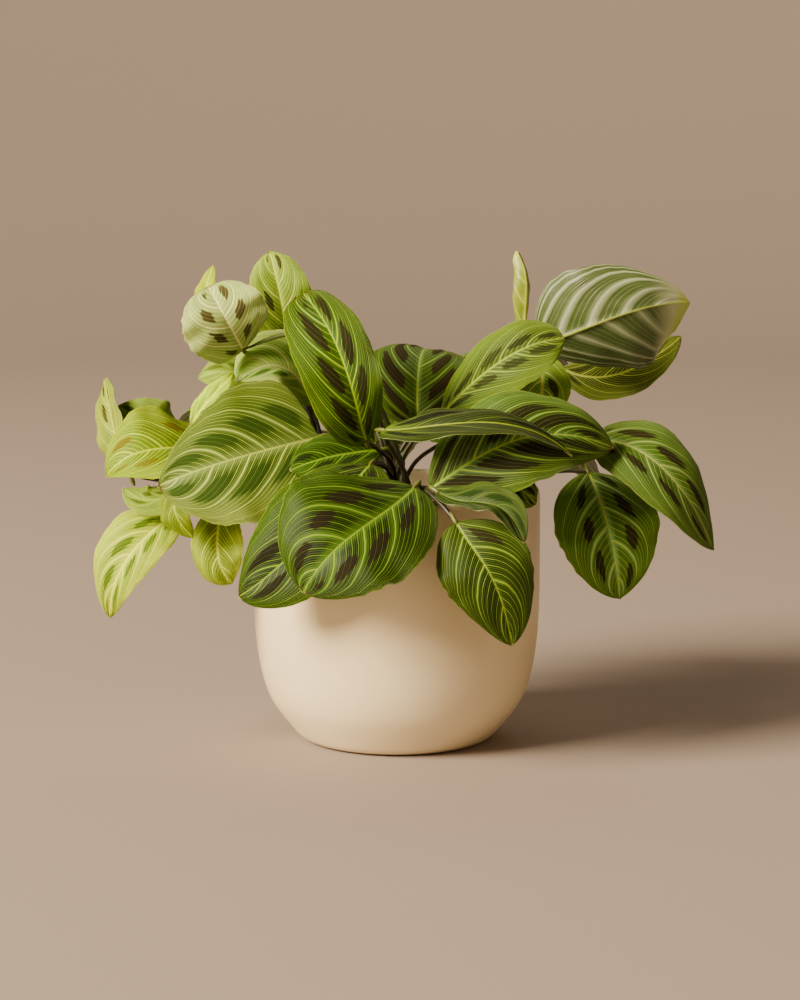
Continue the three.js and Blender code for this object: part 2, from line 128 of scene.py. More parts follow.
def newMesh(name, bm, materials, smooth=True):
    mesh = bpy.data.meshes.new(name)
    bm.to_mesh(mesh)
    bm.free()
    for mat in materials:
        mesh.materials.append(mat)
    for face in mesh.polygons:
        face.use_smooth = smooth
    return addToScene(name, mesh)


def newPiece(name, bm, materials, replaced=None, smooth=True):  # a finished mesh that rides on the plant
    piece = newMesh(name, bm, materials, smooth)
    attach(piece, "root")
    if replaced:
        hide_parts(replaced)
    return piece


def subdivide(piece, levels):
    rounder = piece.modifiers.new("rounder", "SUBSURF")
    rounder.levels = rounder.render_levels = levels


def seeded(index, salt):  # the same fixed number from 0 to 1 for a leaf and a use as in the part's source
    x = math.sin(index * 12.9898 + salt * 78.233) * 43758.5453
    return x - math.floor(x)


def halves(value):  # a leaf's values for its left and right half
    return value if isinstance(value, tuple) else (value, value)


# Leaf blades: name, tone, width or twice the left and the right half, four midrib points from base to tip in
# millimetres, the way the upper side looks, and what differs from leafUsual. "fold" lifts the halves, "cup" bends
# them and "wave" bends the margins up and down. "widest" is where along the blade it is widest, and a "fullness"
# above 1 narrows its ends.
leafUsual = {"fold": 0.2, "cup": -0.4, "wave": 1, "widest": 0.47, "fullness": 1.25}
leafTable = [
    ("front_low", "green", 54, [(33, -96, 143), (44, -108, 128), (55, -111, 109), (64, -103, 75)], (0.1, -1, 0.3),
     {"fold": 0.22, "cup": -0.55, "wave": 1.5}),
    ("front_wide", "green", (76, 98), [(10, -76, 160), (-11, -106, 147), (-32, -122, 133), (-51, -120, 108)],
     (-0.25, -0.93, 0.32), {"cup": -0.5, "wave": 1.5, "fullness": 1.05}),
    ("front_curl", "silver", 28, [(23, -80, 158), (41, -94, 154), (57, -102, 152), (70, -112, 134)],
     (0, -0.5, 0.85), {"fold": 0.6}),
    ("front_left", "green", 66, [(-15, -62, 171), (-33, -88, 153), (-58, -99, 126), (-88, -96, 101)],
     (-0.3, -0.9, 0.35), {"cup": -0.5, "wave": 1.5}),
    ("right_low", "green", 64, [(111, -28, 162), (118, -46, 144), (124, -54, 121), (128, -50, 92)],
     (0.25, -0.95, 0.2), {"cup": -0.5, "wave": 1.5}),
    ("middle_long", "green", 27, [(-7, -74, 192), (24, -94, 197), (61, -100, 198), (97, -96, 180)],
     (0, -0.55, 0.83), {"fold": 0.3, "cup": -0.5, "widest": 0.27}),
    ("middle_dark", "green", (62, 58), [(19, -68, 158), (47, -80, 178), (80, -82, 190), (122, -66, 181)],
     (0.05, -0.85, 0.5), {"fold": 0.15, "wave": 1.5}),
    ("right_arched", "green", (56, 50), [(113, -40, 182), (138, -58, 178), (161, -66, 157), (181, -54, 121)],
     (0.35, -0.75, 0.55), {"fold": 0.15, "cup": -0.5, "widest": (0.34, 0.42)}),
    ("left_small", "green", 30, [(-9, -40, 177), (-29, -52, 176), (-46, -60, 173), (-60, -64, 168)], (0, -0.8, 0.6),
     {"fold": 0.3, "cup": -0.5}),
    ("centre_tall", "green", (54, 38), [(-17, -60, 184), (-23, -76, 208), (-33, -72, 238), (-53, -40, 266)],
     (0.1, -0.95, 0.3), {"fold": 0.25, "cup": -0.5, "wave": 1.5, "widest": 0.6, "fullness": 0.8}),
    ("left_wide", "silver", (80, 90), [(-45, -38, 184), (-77, -57, 178), (-107, -66, 170), (-135, -64, 159)],
     (-0.2, -0.93, 0.35), {"fold": 0.12, "cup": -0.35, "wave": 1.5, "widest": (0.47, 0.22), "fullness": (1.25, 1)}),
    ("right_of_centre", "pale", (36, 42), [(26, -20, 195), (48, -40, 219), (71, -48, 235), (95, -44, 241)],
     (-0.3, -0.9, 0.3), {"widest": 0.56}),
    ("centre_back", "green", 66, [(12, -12, 189), (12, -16, 209), (14, 2, 226), (19, 34, 227)], (0, -0.7, 0.7), {}),
    ("left_hanging", "lime", 32, [(-101, -30, 143), (-103, -42, 128), (-102, -44, 112), (-95, -38, 99)],
     (-0.2, -1, 0.1), {"fold": 0.3, "cup": -0.5}),
    ("left_slim", "lime", 24, [(-116, -40, 165), (-125, -56, 153), (-125, -62, 142), (-116, -60, 129)],
     (-0.6, -0.8, 0.1), {"fold": 0.3, "cup": -0.5}),
    ("left_glossy", "silver", (30, 54), [(-50, 12, 196), (-58, -4, 215), (-73, -14, 223), (-92, -20, 214)],
     (-0.1, -0.8, 0.6), {}),
    ("top_pale", "pale", (54, 50), [(-89, -14, 232), (-94, -30, 244), (-100, -34, 256), (-108, -26, 269)],
     (0.05, -1, 0.25), {"cup": -0.3, "wave": 1.5, "widest": 0.52, "fullness": 0.85}),
    ("left_upper", "pale", 26, [(-78, 0, 214), (-88, -18, 219), (-101, -26, 221), (-115, -24, 217)],
     (-0.2, -0.8, 0.6), {}),
    ("top_lime", "lime", 40, [(-63, 24, 227), (-66, 14, 247), (-70, 10, 269), (-75, 18, 287)], (0, -0.9, 0.4),
     {"fold": 0.25}),
    ("top_dark", "green", 34, [(-54, 40, 239), (-65, 34, 242), (-75, 30, 241), (-87, 30, 235)], (-0.2, -0.8, 0.6),
     {}),
    ("far_left_lime", "lime", (46, 70), [(-99, 0, 180), (-122, -26, 177), (-146, -40, 176), (-168, -36, 161)],
     (-0.2, -0.8, 0.6), {"fold": 0.15, "widest": 0.42}),
    ("far_left_slim", "lime", 13, [(-119, -20, 189), (-112, -28, 200), (-103, -30, 210), (-95, -22, 219)],
     (-0.1, -0.9, 0.3), {}),
    ("far_left_small", "pale", 24, [(-119, -36, 150), (-133, -46, 150), (-144, -50, 149), (-157, -46, 155)],
     (-0.2, -0.7, 0.7), {}),
    ("far_left_low", "pale", (32, 44), [(-126, -24, 140), (-141, -46, 130), (-157, -54, 111), (-166, -38, 79)],
     (-0.3, -0.95, 0.2), {"cup": -0.5}),
    ("far_left_upright", "pale", 30, [(-157, -20, 160), (-164, -20, 180), (-169, -10, 198), (-174, 8, 213)],
     (-0.8, -0.6, 0.1), {"fold": 0.4, "cup": -0.3}),
    ("far_left_dark", "green", 42, [(-125, 10, 172), (-139, -2, 180), (-151, -6, 188), (-166, 0, 197)],
     (-0.3, -0.8, 0.5), {}),
    ("top_slim", "lime", 15, [(-106, 12, 243), (-111, 4, 256), (-111, 4, 268), (-108, 14, 279)], (-0.5, -0.8, 0.2),
     {"cup": -0.3}),
    ("inner_dark", "green", 34, [(82, -8, 230), (84, -22, 217), (84, -28, 205), (83, -24, 187)], (0, -0.9, 0.4),
     {}),
    ("inner_pale", "silver", 30, [(69, -4, 187), (67, -8, 202), (65, 0, 213), (64, 18, 220)], (0, 0.9, 0.3), {}),
    ("rim_right", "green", 26, [(54, -38, 166), (63, -54, 161), (72, -60, 155), (79, -58, 148)], (0.4, -0.8, 0.5),
     {}),
    ("right_big", "silver", (88, 70), [(85, 0, 235), (112, -16, 246), (140, -20, 256), (170, -10, 259)],
     (0, 0.97, 0.25), {"fold": 0.1, "cup": 0.5, "wave": 1.5, "widest": (0.66, 0.32), "fullness": (0.7, 1.3)}),
    ("right_under", "green", 32, [(99, 30, 217), (120, 28, 212), (144, 32, 218), (171, 46, 235)], (0.1, -0.85, 0.5),
     {"fold": 0.15, "cup": -0.3}),
    ("new_rolled", "lime", 24, [(75, 0, 242), (75, -4, 259), (75, -4, 273), (70, 4, 288)], (-0.5, 0.85, 0),
     {"fold": 0, "cup": 2.6, "wave": 0}),
]

# Leaf blades at the back: name, azimuth in degrees, the base's distance from the pot's axis and its height, length
# and width, and how steeply a blade rises at the base and falls at the tip, in degrees
backTable = [
    ("back_1", 8, 62, 176, 84, 52, 20, 50),
    ("back_2", 34, 60, 172, 100, 62, 20, 60),
    ("back_3", 42, 52, 214, 92, 58, 32, 40),
    ("back_4", 62, 58, 170, 104, 64, 20, 65),
    ("back_5", 80, 46, 204, 96, 58, 25, 45),
    ("back_6", 98, 56, 168, 100, 62, 20, 65),
    ("back_7", 116, 46, 208, 96, 60, 30, 45),
    ("back_8", 134, 58, 170, 100, 62, 18, 60),
    ("back_9", 138, 50, 216, 94, 56, 30, 40),
    ("back_10", 160, 60, 196, 90, 54, 25, 50),
    ("back_11", 70, 16, 176, 58, 36, 78, -45),
    ("back_12", 110, 38, 172, 54, 32, 75, -40),
]

# What the blades have in common, in millimetres where nothing else is said
bladeForm = {
    "thickness": 0.45,  # of the lamina
    "lift": 0.2,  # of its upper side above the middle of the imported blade
    "ribThickness": 1.7,  # of the midrib below, at the base
    "ribWidth": 0.9,
    "ribTaper": 0.8,  # the share of its thickness that the midrib loses towards the tip
    "stub": 1.1,  # least half width at the base
    "tip": 0.2,  # least half width at the tip
    "foldSoon": 1.6,  # how soon from the ends the fold and the cup are whole
    "waveTurns": (2.2, 1.2),  # waves along a margin: the fewest, and how many more by chance
    "groove": 0.35,  # depth of the midrib's groove above
    "grooveWidth": 1.3,
    "quilting": 0.55,  # how far the lamina rises between main veins
    "quiltOffset": 0.17,  # in vein spacings
    "ripple": 1.5,  # how far the margin waves up and down
    "rippleTurns": (7, 2.5),  # along and across the blade
    "rippleInside": 0.15,  # the share of it that the inner part of the blade has
    "rippleFrom": 0.4,  # and from where it grows, as a share of the half width
    "notches": 0.07,  # how far the margin draws in here and there, as a share of the half width
    "notchTurns": 9,
    "columnCrowding": 1.4,  # columns are closer at the midrib
    "rowCrowding": (0.45, 0.55),  # and rows at the base and tip: shares of even and of crowded spacing
    "small": {"below": 36, "grid": (44, 20), "veins": 3.4},  # blades below this width: rows, columns, main veins
    "large": {"grid": (64, 30), "veins": 4.4},
    "seedSpan": 0.9,
    "yieldStep": 1.5,  # a leaf yields by whole steps
    "yieldWay": (0, 0.99, -0.14),  # away from the photograph's camera
}

# How the veins run: a main vein leaves the midrib and bends along the margin to the tip. "spread" is how far it
# bends, "bands" how many stripes lie between two main veins, and "hairs" how many finest ones.
veinRun = {"spread": 0.31, "margin": 0.95, "sideOffset": 0.42, "drift": 0.17, "driftNoise": (2.0, 2.0),
           "bands": 5.0, "hairs": 15.0, "ribTaper": -0.55, "ribEdge": (1.0, 0.5)}

# Material colours and marks of each tone of leaf, as hex values and shares of the half width. "ground" is the
# colour at the base, between the ends and at the tip, and "edges" that of the margins, left and right where they
# differ: a lighter margin is painted light on the lit half, a darker one painted shade on the other half.
# "feather" is the pale zone, "featherReach" wide at the midrib and "featherWidth" at a main vein. "line" is the
# colour of the veins and its strength. "blotch" is the colour of the dark marks between main veins and how many
# there are, 1 for all: "reach" says from where to where, "gap" how far they keep from main veins in vein spacings,
# "soft" how soft their ends are. "dryTip" is how brown the tip is, "veins" how many main veins each half has.
markUsual = {"gap": 0.2, "soft": 0.018, "dryTip": 0.25}
leafTones = {
    "green": {"ground": ("35560c", "2f5208", "3a5c12"), "edges": "436a14", "feather": "6c904c",
        "featherReach": 0.14, "featherWidth": 0.14, "line": ("a9bd42", 0.8), "blotch": ("17130a", 0.9),
        "reach": (0.18, 0.62)},
    "silver": {"ground": ("689540", "2b5306", "457615"), "edges": ("9bc65c", "3d680e"), "feather": "81b15d",
        "featherReach": 0.3, "featherWidth": 0.3, "line": ("b7df70", 0.7), "blotch": ("2a4d04", 1.0),
        "reach": (0.2, 0.62)},
    "pale": {"ground": ("607d13", "658219", "6c8a1c"), "edges": ("85a529", "7f9e26"), "feather": "8cad32",
        "featherReach": 0.35, "featherWidth": 0.3, "line": ("acc844", 1.0), "blotch": ("506211", 0.6),
        "reach": (0.16, 0.5)},
    # lime: the young leaves' own lime green, brightened into a painted glow of light shining through the blades
    "lime": {"ground": ("87ac01", "80a501", "84a701"), "edges": ("90b301", "83a701"), "feather": "93b603",
        "featherReach": 0.15, "featherWidth": 0.15, "line": ("bcd91a", 0.7), "blotch": ("6e7605", 0.3),
        "reach": (0.15, 0.45)},
}

# Leaves that differ from their tone: their own marks, and colours darkened or lightened leaf by leaf for the light
# each one gets, as painted shade on shaded leaves and painted light on lit ones
leafTouches = {
    "front_low": {"ground": ("183002", "122c01", "183002"), "edges": "1c3503", "feather": "36530a",
        "featherReach": 0.08, "line": ("859d32", 0.85), "blotch": ("1c1203", 0.2), "veins": 3.0},
    "front_wide": {"ground": ("0c2300", "081e00", "081e00"), "edges": ("0f2600", "204000"), "feather": "416511",
        "featherWidth": 0.2, "line": ("799623", 0.65), "blotch": ("181002", 1.0), "reach": (0.24, 0.6), "gap": 0.15,
        "veins": 4.0},
    # front_left: its ground darkened to near black is painted shade, the shadow of the leaf above it
    "front_left": {"ground": ("051500", "061900", "0a2300"), "edges": ("142d00", "214100"), "feather": "143200",
        "featherReach": 0.06, "featherWidth": 0.08, "line": ("7d9c1f", 0.7), "blotch": ("120c01", 0.7),
        "veins": 4.0},
    "front_curl": {"ground": ("203505", "192e03", "122102"), "edges": ("485c19", "192c02"), "feather": "3c5019",
        "line": ("63792e", 0.7), "blotch": ("1a3201", 1.0)},
    "centre_tall": {"ground": ("365c01", "1e4101", "122d01"), "edges": "1d4101", "feather": "32590b",
        "line": ("9aba12", 0.72), "blotch": ("1a1102", 1.0), "reach": (0.13, 0.62), "gap": 0.17, "veins": 3.9},
    "centre_back": {"ground": ("314b08", "294308", "304b09"), "edges": "35530a", "feather": "4f7130",
        "featherReach": 0.1, "featherWidth": 0.1, "line": ("88a231", 0.5), "blotch": ("221504", 1.0),
        "reach": (0.2, 0.75)},
    "right_low": {"ground": ("2d510c", "2f580a", "3d6a14"), "edges": "3c6a12", "feather": "6fa35f",
        "featherReach": 0.12, "line": ("abbf45", 0.8), "blotch": ("1e1303", 1.0), "reach": (0.25, 0.6), "gap": 0.19,
        "veins": 3.7},
    "right_arched": {"ground": ("28420a", "335313", "486b23"), "edges": "43651f", "feather": "5f7f44",
        "line": ("9bab47", 0.6), "blotch": ("1e1302", 1.0), "reach": (0.24, 0.58), "gap": 0.17, "veins": 3.9},
    # middle_dark: near black towards the base as painted shadow of middle_long, its lit lower margin painted
    # lighter
    "middle_dark": {"ground": ("091a02", "102602", "20400a"), "edges": ("325921", "20400a"), "feather": "406b32",
        "line": ("8fa834", 0.85), "blotch": ("140e02", 0.8), "reach": (0.1, 0.75), "dryTip": 0.7},
    # middle_long: darkened to near black beyond its base, as painted shade where it lies edge-on in shadow
    "middle_long": {"ground": ("4e6e0a", "122404", "0c1602"), "edges": ("0c1c04", "122404"), "feather": "182a04",
        "line": ("8ca02c", 0.3), "blotch": ("030401", 0.5), "reach": (0.2, 0.8)},
    "left_small": {"ground": ("1a3d01", "173b01", "25490a"), "edges": "173d01", "feather": "2a530e",
        "line": ("81a41e", 0.65), "blotch": ("0d0d02", 0.3)},
    # left_glossy: colours brightened to make up for the shade over part of it, as painted light
    "left_glossy": {"ground": ("7eb234", "548f16", "86c028"), "edges": ("b4d45c", "a4c84c"), "feather": "a8cc58",
        "line": ("dce890", 0.7), "blotch": ("3c6410", 0.5)},
    "right_of_centre": {"ground": ("436032", "2e4a0c", "395613"), "edges": "547613", "feather": "446426",
        "featherReach": 0.06, "featherWidth": 0.08, "line": ("93a93b", 1.0), "blotch": ("232b0a", 0.9),
        "reach": (0.1, 0.5), "gap": 0.12},
    "top_pale": {"ground": ("80a248", "80a248", "86a84c"), "edges": "98ba5e", "feather": "98b862",
        "featherReach": 0.14, "line": ("eef29a", 1.0), "blotch": ("3a2c0c", 1.0), "reach": (0.2, 0.58), "gap": 0.27,
        "veins": 3.2},
    "top_lime": {"ground": ("446a05", "61870b", "7d9c18"), "edges": ("89ac1d", "61870b"), "feather": "92b12f",
        "line": ("cbe25e", 1.0), "blotch": ("271f09", 0.7), "reach": (0.2, 0.55)},
    # far_left_lime: its own lime green, brightened into a painted glow of light shining through it
    "far_left_lime": {"ground": ("4e7400", "4e7400", "567c00"), "edges": ("7ca200", "749800"), "feather": "608600",
        "line": ("d0e400", 1.0), "blotch": ("686001", 0.7), "reach": (0.3, 0.6)},
    "far_left_low": {"ground": ("669606", "689806", "4b7002"), "edges": ("a0c820", "9ac01c"), "feather": "bee030",
        "featherReach": 0.2, "featherWidth": 0.2, "line": ("f0f444", 1.0), "blotch": ("4a6c04", 0.9)},
    "left_wide": {"ground": ("46641a", "2c4a08", "325205"), "edges": ("62782a", "3c5a0b"), "feather": "6c883e",
        "featherReach": 0.16, "featherWidth": 0.13, "line": ("b0c44c", 0.85), "blotch": ("233f03", 1.0),
        "reach": (0.17, 0.66), "soft": 0.05, "dryTip": 1.0},
    "right_under": {"ground": ("1e3606", "1c3405", "26440a"), "edges": "2e4c0c", "feather": "41641c",
        "featherReach": 0.08, "featherWidth": 0.08, "line": ("b4c24a", 1.0), "blotch": ("171205", 0.3),
        "reach": (0.1, 0.6), "veins": 4.4},
    "inner_dark": {"ground": ("679d1a", "558a12", "55871d"), "edges": "639a16", "feather": "99c678",
        "line": ("dfe155", 0.8), "blotch": ("1f1b05", 0.3)},
    "left_hanging": {"ground": ("5e8404", "587e06", "64880e"), "edges": ("98bc22", "8cb01c"), "feather": "90b42a",
        "line": ("e2ee50", 1.0), "blotch": ("757b12", 0.5)},
    "left_slim": {"ground": ("4d6901", "496501", "577301"), "edges": ("6a8501", "607b01"), "feather": "6b8602",
        "line": ("a8bc17", 1.0), "blotch": ("5e6504", 0.3)},
    "far_left_upright": {"ground": ("617810", "647b14", "6d8417"), "edges": ("82981f", "728a18"),
        "feather": "829723", "line": ("b9c844", 1.0), "blotch": ("312706", 0.8)},
    # far_left_dark: colours brightened to make up for the shade it lies in, as painted light
    "far_left_dark": {"ground": ("6d8a20", "648420", "6d8a20"), "edges": "7c9a30", "blotch": ("3c5010", 0.9)},
    # far_left_slim: its own lime green, brightened into a painted glow of light shining through it
    "far_left_slim": {"ground": ("90c700", "90c700", "a6da00"), "edges": ("b4ea00", "a4da00"), "feather": "b8ee00",
        "line": ("e2f508", 1.0), "blotch": ("7b8602", 0.0)},
    "new_rolled": {"ground": ("91c500", "89bd00", "8dbe01"), "edges": ("9ace01", "8cbe00"), "feather": "9dd102",
        "line": ("d2ed17", 0.7), "blotch": ("737f04", 0.0)},
    # top_slim: its own lime green, brightened into a painted glow of light shining through it
    "top_slim": {"ground": ("9bb600", "92ad00", "97af00"), "edges": ("a5bd00", "96af00"), "feather": "a7c000",
        "line": ("d0e203", 0.7), "blotch": ("767901", 0.0)},
}

# Undersides. "silver" is how much of the colour "light" lies along the main veins on the left and the right half,
# partly the underside's own silvery colour and partly painted sheen.
undersides = {
    "green": {"base": "4c6020", "tip": "5f7430", "light": "aab67c", "rib": "a3b458", "silver": 0.3},
    "silver": {"base": "5f7038", "tip": "74844a", "light": "b4bf8e", "rib": "b0bd6c", "silver": 0.4},
    "pale": {"base": "7f9048", "tip": "8fa058", "light": "c4cf98", "rib": "bac878", "silver": 0.4},
    "lime": {"base": "7c9018", "tip": "8ca022", "light": "c0d060", "rib": "bccc4c", "silver": 0.2},
}
undersideTouches = {
    # right_big: its pale "tip" is a painted highlight on the curled tip, and its unequal silver painted sheen on
    # one half
    "right_big": {"base": "435622", "tip": "c2cc9a", "light": "a4b08a", "rib": "a3b548", "silver": (0.45, 0.75)},
}

# How both sides are painted. A pair is where a soft step starts and ends, in spacings of the vein that a line or a
# feather belongs to, and else in shares of the half width or the length. A strength of 1 covers what lies below.
# Here and in the dictionaries further down a noise has scale, detail and roughness, a "relief" has strength and
# depth in metres, and four numbers turn the range of the first two into that of the last two.
lamina = {"IOR": 1.45, "Subsurface Radius": (0.7, 1.0, 0.25), "Subsurface Scale": 0.0012}
upperForm = {
    "mainLine": (0.05, 0.015), "bandLine": (0.13, 0.03), "hairLine": (0.3, 0.08),
    "bandStrength": 0.7, "hairStrength": 0.22,
    "dimming": -0.82,  # of the finer lines in a blotch
    "featherCore": (0.02, 0.03),  # how near to the midrib and to a main vein the feathered zone is whole
    "featherOut": (0.95, 0.35), "featherStrength": 0.8,
    "lobe": 0.022, "corner": 0.07, "cornerSlope": 3.3,  # how round the ends of a blotch are
    "startDraw": 0.04, "endDraw": -0.07, "cellDraw": -0.08,  # how far they differ by chance
    "gapStep": (-0.02, 0.015), "blotchesEnd": (0.47, 0.42), "blotchStrength": 0.95,
    "groundStops": (0.3, 0.7), "toEdge": (0.4, 0.95),
    "mottle": (14.0, 4.0, 0.6), "cloud": (0.3, 0.7, 0.85, 1.13), "hairLight": 0.1,
    "rim": (0.975, 0.992, 0.0, 0.5), "ribStrength": 0.85, "dryStep": (0.975, 0.992), "dry": "5a3c1a",
    "hairDip": -0.25, "relief": (0.6, 0.0006), "satin": (0.2, 0.8, 0.42, 0.56), "blotchDull": 0.3,
    "surface": {**lamina, "Subsurface Weight": 0.25, "Specular IOR Level": 0.18},
}
underForm = {
    "mainLine": (0.07, 0.02), "bandLine": (0.2, 0.04), "hairLine": (0.3, 0.08), "silver": (0.24, 0.02),
    "mainStrength": 0.4, "bandStrength": 0.14, "hairStrength": 0.06, "ribStrength": 0.8,
    "mottle": (6.0, 3.0, 0.6), "cloud": (0.3, 0.7), "darkening": 0.7,
    "towardTip": (0.74, 0.96, 0.75), "atTip": (0.9, 0.96, 0.85),
    "relief": (0.3, 0.0004), "satin": (0.2, 0.8, 0.26, 0.4),
    "surface": {**lamina, "Subsurface Weight": 0.2, "Specular IOR Level": 0.4},
}
materials = {}


def veinPattern(tree, form):
    # What both sides of a blade share: the place on it, the run of its veins and the lines along them
    uv = add(tree, "UVMap", uv_map="blade")  # x across from edge to edge, y from base to tip
    spot = add(tree, "SeparateXYZ", {0: uv})
    seed = add(tree, "Attribute", attribute_name="leafSeed").outputs[2]
    veins = add(tree, "Attribute", attribute_name="leafVeins").outputs[2]
    along = spot.outputs[1]
    across = calc(tree, "MULTIPLY_ADD", spot, 2.0, -1.0)
    reach = calc(tree, "ABSOLUTE", across)
    side = calc(tree, "GREATER_THAN", across, 0.0)
    place = add(tree, "CombineXYZ", {0: across, 1: along, 2: seed})
    drift = clouds(tree, place, *veinRun["driftNoise"])
    inner = calc(tree, "MULTIPLY_ADD", reach, -veinRun["margin"], 1.0)
    bend = calc(tree, "LOGARITHM", inner, math.e)
    run = calc(tree, "MULTIPLY_ADD", bend, veinRun["spread"], along)
    even = calc(tree, "MULTIPLY_ADD", run, veins, seed)
    sided = calc(tree, "MULTIPLY_ADD", side, veinRun["sideOffset"], even)
    phase = calc(tree, "MULTIPLY_ADD", drift, veinRun["drift"], sided)
    bands = times(tree, phase, veinRun["bands"])
    hairs = times(tree, phase, veinRun["hairs"])
    # How far a place is from the next main vein, stripe and finest vein: 0 on it, 0.5 halfway
    fromMain, fromBand, fromHair = [calc(tree, "PINGPONG", count, 0.5) for count in (phase, bands, hairs)]
    fromRib = add(tree, "Attribute", attribute_name="acrossMm").outputs[2]
    ribWidth = calc(tree, "MULTIPLY_ADD", along, veinRun["ribTaper"], 1.0)
    ribShare = calc(tree, "DIVIDE", fromRib, ribWidth)
    rib = smoothStep(tree, ribShare, *veinRun["ribEdge"])
    mainLine = smoothStep(tree, fromMain, *form["mainLine"])
    bandLine = smoothStep(tree, fromBand, *form["bandLine"])
    hairLine = smoothStep(tree, fromHair, *form["hairLine"])
    return {"place": place, "seed": seed, "along": along, "reach": reach, "side": side, "phase": phase,
            "bands": bands, "fromMain": fromMain, "fromBand": fromBand, "rib": rib, "mainLine": mainLine,
            "bandLine": bandLine, "hairLine": hairLine}


def featherMask(tree, look, vein):
    # The pale feathered zone: along the midrib, and out along each main vein
    ribCore, veinCore = upperForm["featherCore"]
    nearRib = smoothStep(tree, vein["reach"], look["featherReach"], ribCore)
    nearVein = smoothStep(tree, vein["fromMain"], look["featherWidth"], veinCore)
    outward = smoothStep(tree, vein["reach"], *upperForm["featherOut"])
    onVein = times(tree, nearVein, outward)
    return calc(tree, "MAXIMUM", nearRib, onVein)


def blotchMask(tree, look, vein):
    # Dark blotches: a round-ended lobe in each stripe between two main veins, each with its own length
    form, reach = upperForm, vein["reach"]
    cell = calc(tree, "FLOOR", vein["phase"])
    band = calc(tree, "FLOOR", vein["bands"])
    cellSpot = add(tree, "CombineXYZ", {0: cell, 1: vein["side"], 2: vein["seed"]})
    bandSpot = add(tree, "CombineXYZ", {0: band, 1: vein["side"], 2: vein["seed"]})
    cellDraw = add(tree, "TexWhiteNoise", {"Vector": cellSpot})
    bandDraw = add(tree, "TexWhiteNoise", {"Vector": bandSpot})
    draws = add(tree, "SeparateXYZ", {0: bandDraw.outputs[1]})
    offCentre = calc(tree, "MULTIPLY_ADD", vein["fromBand"], -2.0, 1.0)  # 0 in the middle of a stripe, 1 beside it
    squared = calc(tree, "POWER", offCentre, 2.0)
    lobeEnd = times(tree, squared, form["lobe"])
    slope = form["cornerSlope"]
    offMiddle = calc(tree, "MULTIPLY_ADD", vein["fromMain"], -slope, slope / 2)  # 0 halfway between main veins
    corner = calc(tree, "POWER", offMiddle, 3.0)
    rounding = calc(tree, "MULTIPLY_ADD", corner, form["corner"], lobeEnd)
    start = calc(tree, "MULTIPLY_ADD", draws, form["startDraw"], look["reach"][0])
    longest = calc(tree, "MULTIPLY_ADD", draws.outputs[1], form["endDraw"], look["reach"][1])
    end = calc(tree, "MULTIPLY_ADD", cellDraw, form["cellDraw"], longest)
    pastStart = calc(tree, "SUBTRACT", reach, start)
    beforeEnd = calc(tree, "SUBTRACT", end, reach)
    nearest = calc(tree, "MINIMUM", pastStart, beforeEnd)
    fromEnd = calc(tree, "SUBTRACT", nearest, rounding)
    mask = smoothStep(tree, fromEnd, -look["soft"], look["soft"])
    clear = smoothStep(tree, vein["fromMain"], *[look["gap"] + step for step in form["gapStep"]])
    present = calc(tree, "LESS_THAN", cellDraw, look["blotch"][1])
    midway = calc(tree, "SUBTRACT", vein["along"], 0.5)
    fromMidway = calc(tree, "ABSOLUTE", midway)
    inside = smoothStep(tree, fromMidway, *form["blotchesEnd"])
    for factor in (clear, present, inside):
        mask = times(tree, mask, factor)
    return mask


def leafBladeMaterial(name, look):
    # Living leaf lamina: waxy, so the light gives a broad satin sheen, and thin, so light from behind glows in it.
    mat, tree = newMaterial(name)
    form, vein = upperForm, veinPattern(tree, upperForm)
    along, reach, hairLine = vein["along"], vein["reach"], vein["hairLine"]
    feather = featherMask(tree, look, vein)
    blotch = blotchMask(tree, look, vein)
    # Colour, from the ground up
    lengthwise = add(tree, "ValToRGB", {0: along})
    stops = lengthwise.color_ramp.elements
    base, middle, tip = [linear(colour) for colour in look["ground"]]
    stops[0].color, stops[1].color = base, tip
    for spot in form["groundStops"]:
        stops.new(spot).color = middle
    # margins: where the halves differ, painted light on the lit margin and painted shade on the other
    edge = blend(tree, vein["side"], *halves(look["edges"]))
    toEdge = smoothStep(tree, reach, *form["toEdge"])
    ground = blend(tree, toEdge, lengthwise, edge)
    mottle = clouds(tree, vein["place"], *form["mottle"])
    cloud = mapLinear(tree, mottle, *form["cloud"])
    stripe = calc(tree, "MULTIPLY_ADD", hairLine, form["hairLight"], cloud)
    colour = add(tree, "VectorMath", {0: ground, 1: stripe}, operation="MULTIPLY")
    colour = tint(tree, colour, feather, form["featherStrength"], look["feather"])
    colour = tint(tree, colour, blotch, form["blotchStrength"], look["blotch"][0])
    lineColour, lineStrength = look["line"]
    dimming = calc(tree, "MULTIPLY_ADD", blotch, form["dimming"], 1.0)
    bandSeen = times(tree, vein["bandLine"], dimming)
    hairSeen = times(tree, hairLine, dimming)
    for line, strength in ((hairSeen, form["hairStrength"]), (bandSeen, form["bandStrength"]),
                           (vein["mainLine"], 1)):
        colour = tint(tree, colour, line, lineStrength * strength, lineColour)
    rim = mapLinear(tree, reach, *form["rim"])
    rib = times(tree, vein["rib"], form["ribStrength"])
    outline = calc(tree, "MAXIMUM", rib, rim)
    colour = blend(tree, outline, colour, lineColour)
    dry = mapLinear(tree, along, *form["dryStep"], 0.0, look["dryTip"])
    colour = blend(tree, dry, colour, form["dry"])
    # The lamina swells between the veins, and its blotches are duller
    dip = calc(tree, "MAXIMUM", vein["bandLine"], vein["mainLine"])
    swell = calc(tree, "MULTIPLY_ADD", hairLine, form["hairDip"], 1.0)
    height = calc(tree, "SUBTRACT", swell, dip)
    bump = relief(tree, height, *form["relief"])
    satin = mapLinear(tree, mottle, *form["satin"])
    gloss = calc(tree, "MULTIPLY_ADD", blotch, form["blotchDull"], satin)
    newSurface(tree, colour, gloss, bump, **form["surface"])
    return mat


